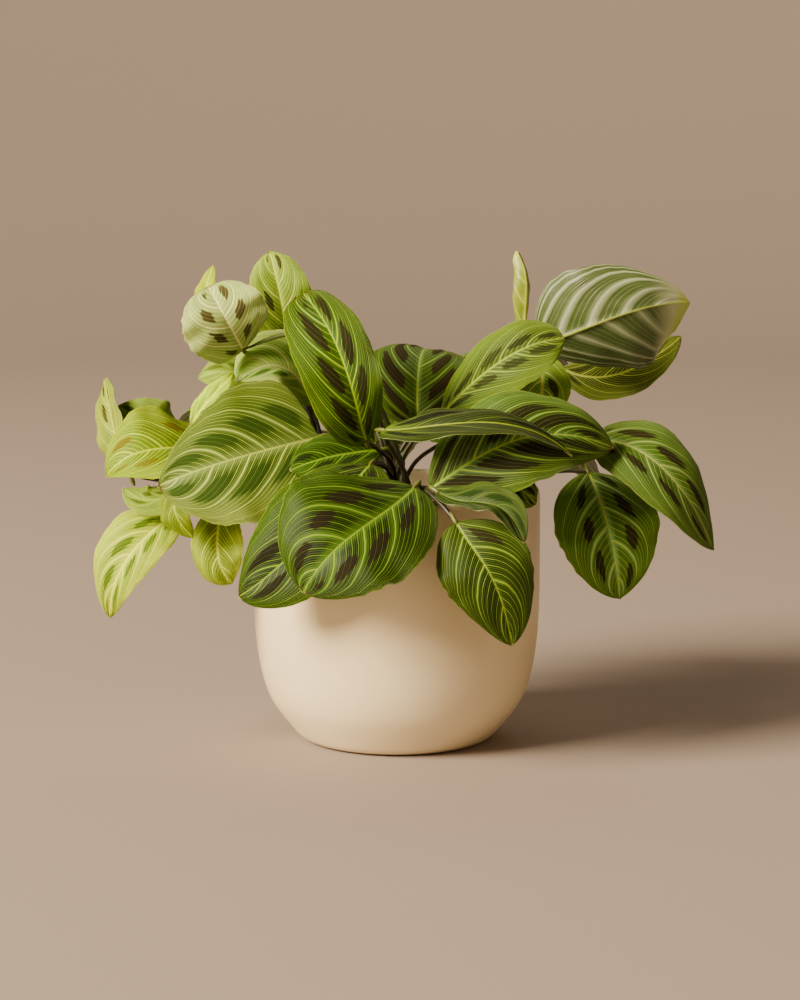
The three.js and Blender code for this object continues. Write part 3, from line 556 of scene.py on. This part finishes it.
def leafUndersideMaterial(name, look):
    # The under side of the lamina: smoother and glossier, silvery along the veins, partly its own colour and partly
    # painted sheen, and the veins stand out as paler ribs.
    mat, tree = newMaterial(name)
    form, vein = underForm, veinPattern(tree, underForm)
    # Silver, partly the underside's own colour and partly painted sheen: broad and soft on each main vein, more of
    # it on one half than on the other where a leaf lists two amounts, which paints more sheen on that half
    wide = smoothStep(tree, vein["fromMain"], *form["silver"])
    amount = mapLinear(tree, vein["side"], 0.0, 1.0, *halves(look["silver"]))
    silver = times(tree, wide, amount)
    mottle = clouds(tree, vein["place"], *form["mottle"])
    cloudy = mapLinear(tree, mottle, *form["cloud"])
    dark = (*[channel * form["darkening"] for channel in linear(look["base"])[:3]], 1.0)
    colour = blend(tree, cloudy, dark, look["base"])
    # Paler towards the tip and in the rib colour at the very end; on right_big a painted highlight on its curled
    # tip
    towardTip = smoothStep(tree, vein["along"], *form["towardTip"])
    colour = blend(tree, towardTip, colour, look["tip"])
    colour = blend(tree, silver, colour, look["light"])
    atTip = smoothStep(tree, vein["along"], *form["atTip"])
    fine = times(tree, vein["bandLine"], form["bandStrength"])
    finer = calc(tree, "MULTIPLY_ADD", vein["hairLine"], form["hairStrength"], fine)
    colour = blend(tree, finer, colour, look["light"])
    colour = tint(tree, colour, vein["mainLine"], form["mainStrength"], look["light"])
    colour = tint(tree, colour, vein["rib"], form["ribStrength"], look["rib"])
    colour = blend(tree, atTip, colour, look["rib"])
    ribs = calc(tree, "MAXIMUM", vein["bandLine"], vein["mainLine"])
    bump = relief(tree, ribs, *form["relief"])
    gloss = mapLinear(tree, mottle, *form["satin"])
    newSurface(tree, colour, gloss, bump, **form["surface"])
    return mat


def through(points, t):  # the cubic that passes four points at 0, 1/3, 2/3 and 1
    weights = ((1 - 3 * t) * (2 - 3 * t) * (1 - t) / 2, 9 * t * (2 - 3 * t) * (1 - t) / 2,
               9 * t * (3 * t - 1) * (1 - t) / 2, t * (3 * t - 1) * (3 * t - 2) / 2)
    return sum((Vector(p) * w for p, w in zip(points, weights)), Vector())


def bladePoint(leaf, t, v):  # a point of the blade, its distance from the midrib and the way the upper side looks
    near = 1e-3
    tangent = (through(leaf["at"], min(t + near, 1)) - through(leaf["at"], max(t - near, 0))).normalized()
    face = Vector(leaf["face"])
    face = (face - tangent * face.dot(tangent)).normalized()
    hand = 0 if v < 0 else 1
    wide, widest, fullness = [halves(leaf[key])[hand] for key in ("wide", "widest", "fullness")]
    swell = ((t / widest) ** widest * ((1 - t) / (1 - widest)) ** (1 - widest)) ** fullness
    least = bladeForm["stub"] + (leaf["tipHalf"] - bladeForm["stub"]) * min(1, 2 * t)
    half = max(swell * wide / 2, least)
    fade = min(1, swell * bladeForm["foldSoon"])
    fold, cup = leaf["fold"] * fade, leaf["cup"] * fade or 1e-6
    outward = half / cup * (math.sin(fold + cup * abs(v)) - math.sin(fold))
    lift = half / cup * (math.cos(fold) - math.cos(fold + cup * abs(v)))
    fewest, more = bladeForm["waveTurns"]
    turns = fewest + more * seeded(leaf["index"], hand)
    wave = leaf["wave"] * v * v * swell * math.sin(2 * math.pi * (turns * t + seeded(leaf["index"], 2 + hand)))
    side = tangent.cross(face) * math.copysign(1, v)
    return through(leaf["at"], t) + side * outward + face * (lift + wave), abs(v) * half, face


def settleLeaf(leaf):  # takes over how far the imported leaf, 10 rows of 7 points, yielded to its neighbours
    low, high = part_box(leaf["node"])
    spots = [bladePoint(leaf, i / 9, j / 3 - 1)[0] for i in range(10) for j in range(7)]
    centre = Vector([(min(p[k] for p in spots) + max(p[k] for p in spots)) / 2 for k in range(3)])
    way = Vector(bladeForm["yieldWay"]).normalized()
    steps = round(((low + high) / 2 / mm - centre).dot(way) / bladeForm["yieldStep"])
    shift = way * steps * bladeForm["yieldStep"]
    leaf["at"] = [tuple(Vector(p) + shift) for p in leaf["at"]]


def shapeBlade(leaf):
    form = bladeForm
    size = form["small"] if max(halves(leaf["wide"])) < form["small"]["below"] else form["large"]
    rows, columns = size["grid"]
    veinCount = leafTouches.get(leaf["name"], {}).get("veins", size["veins"])
    seed = seeded(leaf["index"], 7) * form["seedSpan"]
    apart = 10 * seed  # so that no two leaves meet the same noise, and 3 more is for the right half's notches
    bm = bmesh.new()
    uvLayer = bm.loops.layers.uv.new("blade")
    weights = bm.verts.layers.deform.new()
    seedLayer = bm.verts.layers.float.new("leafSeed")
    veinLayer = bm.verts.layers.float.new("leafVeins")
    acrossLayer = bm.verts.layers.float.new("acrossMm")
    bmesh.ops.create_grid(bm, x_segments=columns, y_segments=rows, size=1)
    spots = {}
    for vert in bm.verts:
        u, s = vert.co.x, (vert.co.y + 1) / 2
        v = math.copysign(abs(u) ** form["columnCrowding"], u)
        t = form["rowCrowding"][0] * s + form["rowCrowding"][1] * (1 - math.cos(math.pi * s)) / 2
        spots[vert] = ((v + 1) / 2, t)
        reach = abs(v)
        notch = abs(noise.noise(Vector((t * form["notchTurns"], 3 * (v > 0), apart))))
        point, across, face = bladePoint(leaf, t, v * (1 - form["notches"] * notch * reach ** 4))
        phase = (t + veinRun["spread"] * math.log(1 - veinRun["margin"] * reach)) * veinCount + seed
        phase += veinRun["sideOffset"] * (v > 0) + form["quiltOffset"]
        quilt = form["quilting"] * math.sin(math.pi * phase) ** 2 * 4 * reach * (1 - reach)
        groove = form["groove"] * math.exp(-(across / form["grooveWidth"]) ** 2) * (1 - t)
        place = Vector((t * form["rippleTurns"][0], form["rippleTurns"][1] * v, apart))
        rippled = form["rippleInside"] + max(0, reach - form["rippleFrom"])
        ripple = form["ripple"] * rippled * math.sin(math.pi * t) * noise.noise(place)
        vert.co = (point + face * (form["lift"] + quilt + ripple - groove)) * mm
        vert[weights][0] = math.exp(-(across / form["ribWidth"]) ** 2) * (1 - form["ribTaper"] * t)
        vert[seedLayer], vert[veinLayer], vert[acrossLayer] = seed, veinCount, across
    for face in bm.faces:
        for loop in face.loops:
            loop[uvLayer].uv = spots[loop.vert]
    return bm


def sharedMaterial(make, name, look):  # made once and used by every leaf that has this name
    if name not in materials:
        materials[name] = make(name, look)
    return materials[name]


def finishBlade(leaf):
    name, tone = leaf["name"], leaf["tone"]
    touch, underTouch = leafTouches.get(name, {}), undersideTouches.get(name, {})
    upper = sharedMaterial(leafBladeMaterial, tone + " leaf lamina" + (" " + name if touch else ""),
                           {**markUsual, **leafTones[tone], **touch})
    under = sharedMaterial(leafUndersideMaterial, tone + " leaf underside" + (" " + name if underTouch else ""),
                           {**undersides[tone], **underTouch})
    piece = newPiece("leaf_" + name, shapeBlade(leaf), [upper, under], leaf["node"])
    piece.vertex_groups.new(name="rib")
    wall = piece.modifiers.new("wall", "SOLIDIFY")
    wall.thickness = bladeForm["ribThickness"] * mm
    wall.vertex_group = "rib"
    wall.thickness_vertex_group = bladeForm["thickness"] / bladeForm["ribThickness"]
    wall.offset = -1
    wall.material_offset = wall.material_offset_rim = 1
    crisp = piece.modifiers.new("crisp", "WEIGHTED_NORMAL")
    crisp.mode = "FACE_AREA"


def arch(name, azimuth, radius, height, length, wide, rise, droop):  # a back leaf as a row like the others
    out = Vector((math.cos(math.radians(azimuth)), math.sin(math.radians(azimuth)), 0))
    at = [out * radius + Vector((0, 0, height))]
    for k in range(3):
        slope = math.radians(rise - (rise + droop) * (k + 0.5) / 3)
        at.append(at[k] + (out * math.cos(slope) + Vector((0, 0, math.sin(slope)))) * length / 3)
    return name, "green", wide, [tuple(p) for p in at], (0, 0, 1), {"fold": 0.18, "cup": -0.5, "wave": 1.5}


allLeaves = []
for index, (name, tone, wide, at, face, own) in enumerate(leafTable + [arch(*row) for row in backTable]):
    leaf = {**leafUsual, "index": index, "name": name, "node": "blade_" + name, "tone": tone, "wide": wide,
            "at": at, "face": face, **own}
    allLeaves.append(leaf)
    leaf["tipHalf"] = bladeForm["stub"]
    settleLeaf(leaf)
    leaf["tipHalf"] = bladeForm["tip"]
    finishBlade(leaf)
print("leaf blades:", len(allLeaves))

# Petioles and crowns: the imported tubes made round, with a swollen joint below each blade, in millimetres
stalkForm = {
    "smoothing": 2, "fatten": 0.25, "weld": 0.02,
    "jointRadius": 1.5, "jointLength": 9.5, "jointBack": 3.2, "jointAhead": 0.03,
    "low": "241b0b", "high": "36420c", "greener": (0.14, 0.24),  # from brown to green, at heights in metres
    "streaks": (160.0, 3.0, 0.6), "fleck": (0.35, 0.65, -0.3, 0.3), "relief": (0.25, 0.0003),
    "roughness": 0.42, "surface": {"Subsurface Weight": 0.1, "Subsurface Scale": 0.001},
    "joint": ("4f4a1c", "66741f"), "jointGrain": (500.0, 2.0), "jointRoughness": 0.4, "jointGrid": (10, 8),
}


def petioleMaterial():
    # Petiole: a fleshy stalk, dull brown-red over green, slightly glossy, greener towards the blade.
    mat, tree = newMaterial("petiole")
    place = objectPlace(tree)
    height = add(tree, "SeparateXYZ", {0: place}).outputs[2]
    greener = mapLinear(tree, height, *stalkForm["greener"])
    streaks = clouds(tree, place, *stalkForm["streaks"])
    fleck = mapLinear(tree, streaks, *stalkForm["fleck"])
    share = calc(tree, "ADD", greener, fleck, use_clamp=True)
    colour = blend(tree, share, stalkForm["low"], stalkForm["high"])
    bump = relief(tree, streaks, *stalkForm["relief"])
    newSurface(tree, colour, stalkForm["roughness"], bump, **stalkForm["surface"])
    return mat


def jointMaterial():
    # Pulvinus, the swollen joint: smoother and a paler green-brown than the stalk.
    mat, tree = newMaterial("petiole joint")
    grain = clouds(tree, objectPlace(tree), *stalkForm["jointGrain"])
    newSurface(tree, blend(tree, grain, *stalkForm["joint"]), stalkForm["jointRoughness"])
    return mat


def addJoint(bm, base, ahead):
    around, lengthwise = stalkForm["jointGrid"]
    made = bmesh.ops.create_uvsphere(bm, u_segments=around, v_segments=lengthwise, radius=mm)["verts"]
    radius, length = stalkForm["jointRadius"], stalkForm["jointLength"] / 2
    bmesh.ops.scale(bm, verts=made, vec=(radius, radius, length))
    bmesh.ops.rotate(bm, verts=made, matrix=ahead.to_track_quat("Z", "Y").to_matrix(), cent=(0, 0, 0))
    bmesh.ops.translate(bm, verts=made, vec=base - ahead * stalkForm["jointBack"] * mm)
    for face in {face for vert in made for face in vert.link_faces}:
        face.material_index = 1


def finishShoots():
    stalk, joint = petioleMaterial(), jointMaterial()
    shoots = {name: node for name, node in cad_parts.items() if name.startswith("shoot_")}
    ends = {name: [] for name in shoots}
    for leaf in allLeaves:
        base = through(leaf["at"], 0) * mm
        ahead = (through(leaf["at"], stalkForm["jointAhead"]) * mm - base).normalized()
        nearest = min(shoots, key=lambda n: min((v.co - base).length for v in shoots[n].data.vertices))
        ends[nearest].append((base, ahead))
    for name, node in shoots.items():
        bm = bmesh.new()
        bm.from_mesh(node.data)
        bmesh.ops.remove_doubles(bm, verts=bm.verts, dist=stalkForm["weld"] * mm)
        bm.normal_update()
        for vert in bm.verts:
            vert.co += vert.normal * stalkForm["fatten"] * mm
        for base, ahead in ends[name]:
            addJoint(bm, base, ahead)
        piece = newPiece(name.replace("shoot", "stalks"), bm, [stalk, joint], name)
        subdivide(piece, stalkForm["smoothing"])
    print("shoots:", len(shoots))


finishShoots()

# Pot: outside profile from the foot to the rim and inside down to the floor, radius and height in millimetres
potForm = {
    "sides": 96, "smoothing": 1,
    "outside": [(0, 0), (30, 0), (47, 0), (50, 0.1), (52.5, 0.5), (56, 1.6), (59.2, 4.2), (62, 7.5), (65.6, 11.6),
                (69, 16), (72.2, 20.4), (75, 25), (77.4, 30.8), (79.4, 37), (81, 44), (82.2, 51), (83.3, 59.5),
                (84, 68), (84.4, 78), (84.7, 88), (84.7, 104), (84.7, 120), (84.7, 135), (84.6, 144.5),
                (84.3, 147.6), (83.7, 149.2), (82.8, 149.9), (81.5, 150)],
    "inside": [(80.2, 149.9), (79.3, 149.2), (78.8, 147.8), (78.7, 145), (78.7, 130), (78.7, 110), (78.7, 90),
               (77.5, 70), (75, 50), (71.5, 36), (66, 22), (60, 14), (52, 9), (30, 9), (0, 9)],
    "glaze": ("e3d1a2", "ecddb4"), "clouds": (9.0, 3.0, 0.5), "cloudStep": (0.3, 0.7),
    "speck": "a58c68", "speckScale": 260.0, "speckStep": (0.09, 0.05, 0.0, 0.16),  # pin specks 4 mm apart
    "footColour": "c4ae86", "footStep": (0.0018, 0.0008),  # the foot is darker and matt below this height in metres
    "ripple": (55.0, 2.0, 0.4), "relief": (0.12, 0.0006),
    "glazeRoughness": (0.34, 0.46), "footRoughness": 0.85,
    "surface": {"IOR": 1.5, "Coat Weight": 0.15, "Coat Roughness": 0.3},
}


def glazedStoneware():
    # Cream stoneware under a satin glaze: soft wide highlights, faint cloudiness and a few pin specks.
    mat, tree = newMaterial("cream glazed stoneware")
    form, place = potForm, objectPlace(tree)
    cloud = clouds(tree, place, *form["clouds"])
    share = mapLinear(tree, cloud, *form["cloudStep"])
    glaze = blend(tree, share, *form["glaze"])
    grit = add(tree, "TexVoronoi", {"Vector": place, "Scale": form["speckScale"]})
    speck = mapLinear(tree, grit, *form["speckStep"])
    specked = blend(tree, speck, glaze, form["speck"])
    height = add(tree, "SeparateXYZ", {0: place}).outputs[2]
    foot = mapLinear(tree, height, *form["footStep"])
    # darker and matt at the foot
    colour = blend(tree, foot, specked, form["footColour"])
    ripple = clouds(tree, place, *form["ripple"])
    bump = relief(tree, ripple, *form["relief"])
    satin = mapLinear(tree, cloud, *form["cloudStep"], *form["glazeRoughness"])
    gloss = add(tree, "Mix", {0: foot, 2: satin, 3: form["footRoughness"]}, data_type="FLOAT")
    newSurface(tree, colour, gloss, bump, **form["surface"])
    return mat


def spinProfile(profile, sides):
    bm = bmesh.new()
    verts = [bm.verts.new((r * mm, 0, z * mm)) for r, z in profile]
    edges = [bm.edges.new(pair) for pair in zip(verts, verts[1:])]
    bmesh.ops.spin(bm, geom=verts + edges, cent=(0, 0, 0), axis=(0, 0, 1), angle=2 * math.pi, steps=sides,
                   use_merge=True)
    bmesh.ops.remove_doubles(bm, verts=bm.verts, dist=0.001 * mm)
    bmesh.ops.recalc_face_normals(bm, faces=bm.faces)
    return bm


pot = newPiece("pot_glazed", spinProfile(potForm["outside"] + potForm["inside"], potForm["sides"]),
               [glazedStoneware()], "pot")
subdivide(pot, potForm["smoothing"])
print("pot")

# Soil: a lumpy top with loose crumbs of bark, peat and perlite, in millimetres
soilForm = {
    "radius": 78.3, "edge": 131, "top": 136, "ringStep": 2, "sides": 96,
    "below": [(78.3, 90), (74.6, 50.4), (65.6, 22.4), (51.6, 9.4), (0, 9.4)],
    "lumps": 1.6, "lumpScale": 90, "lumpNoise": (0.8, 2.0, 4), "sunk": 1,
    "crumbs": 420, "crumbSize": (0.9, 1.8), "crumbBumps": (0.75, 0.5),  # the least, and how much more by chance
    "crumbWidth": (0.6, 0.4), "crumbHeight": 0.55, "crumbLift": 0.2, "fromWall": 3, "perliteShare": 0.14,
    "soil": ("1f150e", "4b3626"), "soilGrain": (330.0, 5.0, 0.7), "soilStep": (0.35, 0.65),
    "soilRelief": (0.9, 0.0015), "soilRoughness": 0.93,
    "perlite": ("b9b2a4", "e4dfd3"), "pores": (900.0, 3.0), "perliteRelief": (0.6, 0.0005),
    "perliteRoughness": 0.85,
}


def pottingSoil():
    # Moist peat and bark: nearly black brown, matt, crumbly.
    mat, tree = newMaterial("potting soil")
    grain = clouds(tree, objectPlace(tree), *soilForm["soilGrain"])
    share = mapLinear(tree, grain, *soilForm["soilStep"])
    colour = blend(tree, share, *soilForm["soil"])
    newSurface(tree, colour, soilForm["soilRoughness"], relief(tree, grain, *soilForm["soilRelief"]))
    return mat


def perliteMaterial():
    # Perlite: expanded volcanic glass, chalky white grains.
    mat, tree = newMaterial("perlite")
    pores = clouds(tree, objectPlace(tree), *soilForm["pores"])
    colour = blend(tree, pores, *soilForm["perlite"])
    newSurface(tree, colour, soilForm["perliteRoughness"], relief(tree, pores, *soilForm["perliteRelief"]))
    return mat


def soilHeight(x, y):  # the lumpy surface, in millimetres
    form = soilForm
    share = min(1, math.hypot(x, y) / form["radius"])
    lump = noise.fractal(Vector((x, y, 3)) * form["lumpScale"] * mm, *form["lumpNoise"])
    return form["top"] - (form["top"] - form["edge"]) * share ** 4 + form["lumps"] * lump - form["sunk"]


def shapeSoil():
    rings = [(r, soilForm["top"]) for r in range(0, int(soilForm["radius"]), soilForm["ringStep"])]
    bm = spinProfile(rings + [(soilForm["radius"], soilForm["edge"])] + soilForm["below"], soilForm["sides"])
    for vert in bm.verts:
        if vert.co.z > (soilForm["edge"] - 1) * mm:
            vert.co.z = soilHeight(vert.co.x / mm, vert.co.y / mm) * mm
    return bm


def shapeCrumbs():
    bm, form = bmesh.new(), soilForm
    (least, more), (flat, bumps), (slim, fuller) = form["crumbSize"], form["crumbBumps"], form["crumbWidth"]
    for k in range(form["crumbs"]):
        radius = (form["radius"] - form["fromWall"]) * math.sqrt(seeded(k, 21))
        angle = 2 * math.pi * seeded(k, 22)
        x, y = radius * math.cos(angle), radius * math.sin(angle)
        size = least + more * seeded(k, 23) ** 2
        made = bmesh.ops.create_icosphere(bm, subdivisions=1, radius=size * mm)["verts"]
        for vert in made:
            vert.co *= flat + bumps * seeded(k * 13 + vert.index, 24)
        turn = Matrix.Rotation(6.3 * seeded(k, 25), 3, Vector((seeded(k, 26), seeded(k, 27), 0.5)).normalized())
        bmesh.ops.scale(bm, verts=made, vec=(1, slim + fuller * seeded(k, 28), form["crumbHeight"]))
        bmesh.ops.rotate(bm, verts=made, matrix=turn, cent=(0, 0, 0))
        bmesh.ops.translate(bm, verts=made, vec=Vector((x, y, soilHeight(x, y) + form["crumbLift"])) * mm)
        if seeded(k, 29) < form["perliteShare"]:
            for face in {face for vert in made for face in vert.link_faces}:
                face.material_index = 1
    return bm


soilMaterial = pottingSoil()
newPiece("soil_bed", shapeSoil(), [soilMaterial], "soil")
newPiece("soil_crumbs", shapeCrumbs(), [soilMaterial, perliteMaterial()], smooth=False)
print("soil")

# Stage: a pale floor in millimetres, soft light from the upper left and the camera of the photograph in metres.
# The camera looks down by "tilt" degrees at the height "aim" on the plant's axis, where the picture is "tall" high.
stageForm = {
    "floorRadius": 2600, "floorBend": 2400, "wallHeight": 4200, "floorSides": 128, "bendSteps": 15,
    "floor": "94877a", "floorRoughness": 0.8, "sky": "cfc4b4", "skyStrength": 0.05,
    "key": {"place": (-3.3, -2.1, 2.45), "aim": (0, 0, 0.15), "size": 2.2, "power": 790, "colour": "ffead0"},
    "fill": {"place": (2.0, -3.5, 1.8), "aim": (0, 0, 0.15), "size": 1.6, "power": 9, "colour": "fff1df"},
    "back": {"place": (0.6, 2.6, 3.4), "aim": (0.6, 3.4, 0), "size": 2.5, "power": 48, "colour": "ffeeda"},
    "camera": {"distance": 1.6, "tilt": 8, "side": 0.002, "aim": 0.142, "tall": 0.59, "sensor": 36,
               "clip": (0.05, 50)},
}


def layFloor():  # a round floor that bends up into a wall, so the background stays plain from every side
    wide, bend, tall = stageForm["floorRadius"], stageForm["floorBend"], stageForm["wallHeight"]
    turns = [math.radians(90 / stageForm["bendSteps"] * step) for step in range(stageForm["bendSteps"] + 1)]
    arc = [(wide + bend * math.sin(turn), bend * (1 - math.cos(turn))) for turn in turns]
    bm = spinProfile([(0, 0)] + arc + [(wide + bend, tall)], stageForm["floorSides"])
    bmesh.ops.reverse_faces(bm, faces=bm.faces)
    mat, tree = newMaterial("pale floor")
    newSurface(tree, stageForm["floor"], stageForm["floorRoughness"])
    floor = newMesh("floor", bm, [mat])


def hangLight(name):
    form = stageForm[name]
    lamp = bpy.data.lights.new(name, "AREA")
    lamp.shape, lamp.size = "DISK", form["size"]
    lamp.energy = form["power"]
    lamp.color = linear(form["colour"])[:3]
    light = addToScene(name, lamp)
    light.location = form["place"]
    light.rotation_euler = (Vector(form["aim"]) - Vector(form["place"])).to_track_quat("-Z", "Y").to_euler()


def setCamera():
    form = stageForm["camera"]
    distance, tilt = form["distance"], math.radians(form["tilt"])
    camera = bpy.data.cameras.new("camera")
    camera.sensor_fit = "VERTICAL"
    camera.sensor_height = form["sensor"]
    camera.lens = form["sensor"] * distance / form["tall"]
    camera.clip_start, camera.clip_end = form["clip"]
    rig = addToScene("camera", camera)
    rig.location = (form["side"], -distance * math.cos(tilt), form["aim"] + distance * math.sin(tilt))
    rig.rotation_euler = (math.pi / 2 - tilt, 0, 0)
    bpy.context.scene.camera = rig


layFloor()
for name in ("key", "fill", "back"):
    hangLight(name)
world = bpy.data.worlds.new("studio")
bpy.context.scene.world = world
world.use_nodes = True
world.node_tree.nodes.clear()
sky = add(world.node_tree, "Background", {0: stageForm["sky"], 1: stageForm["skyStrength"]})
add(world.node_tree, "OutputWorld", {0: sky})
setCamera()
print("stage")
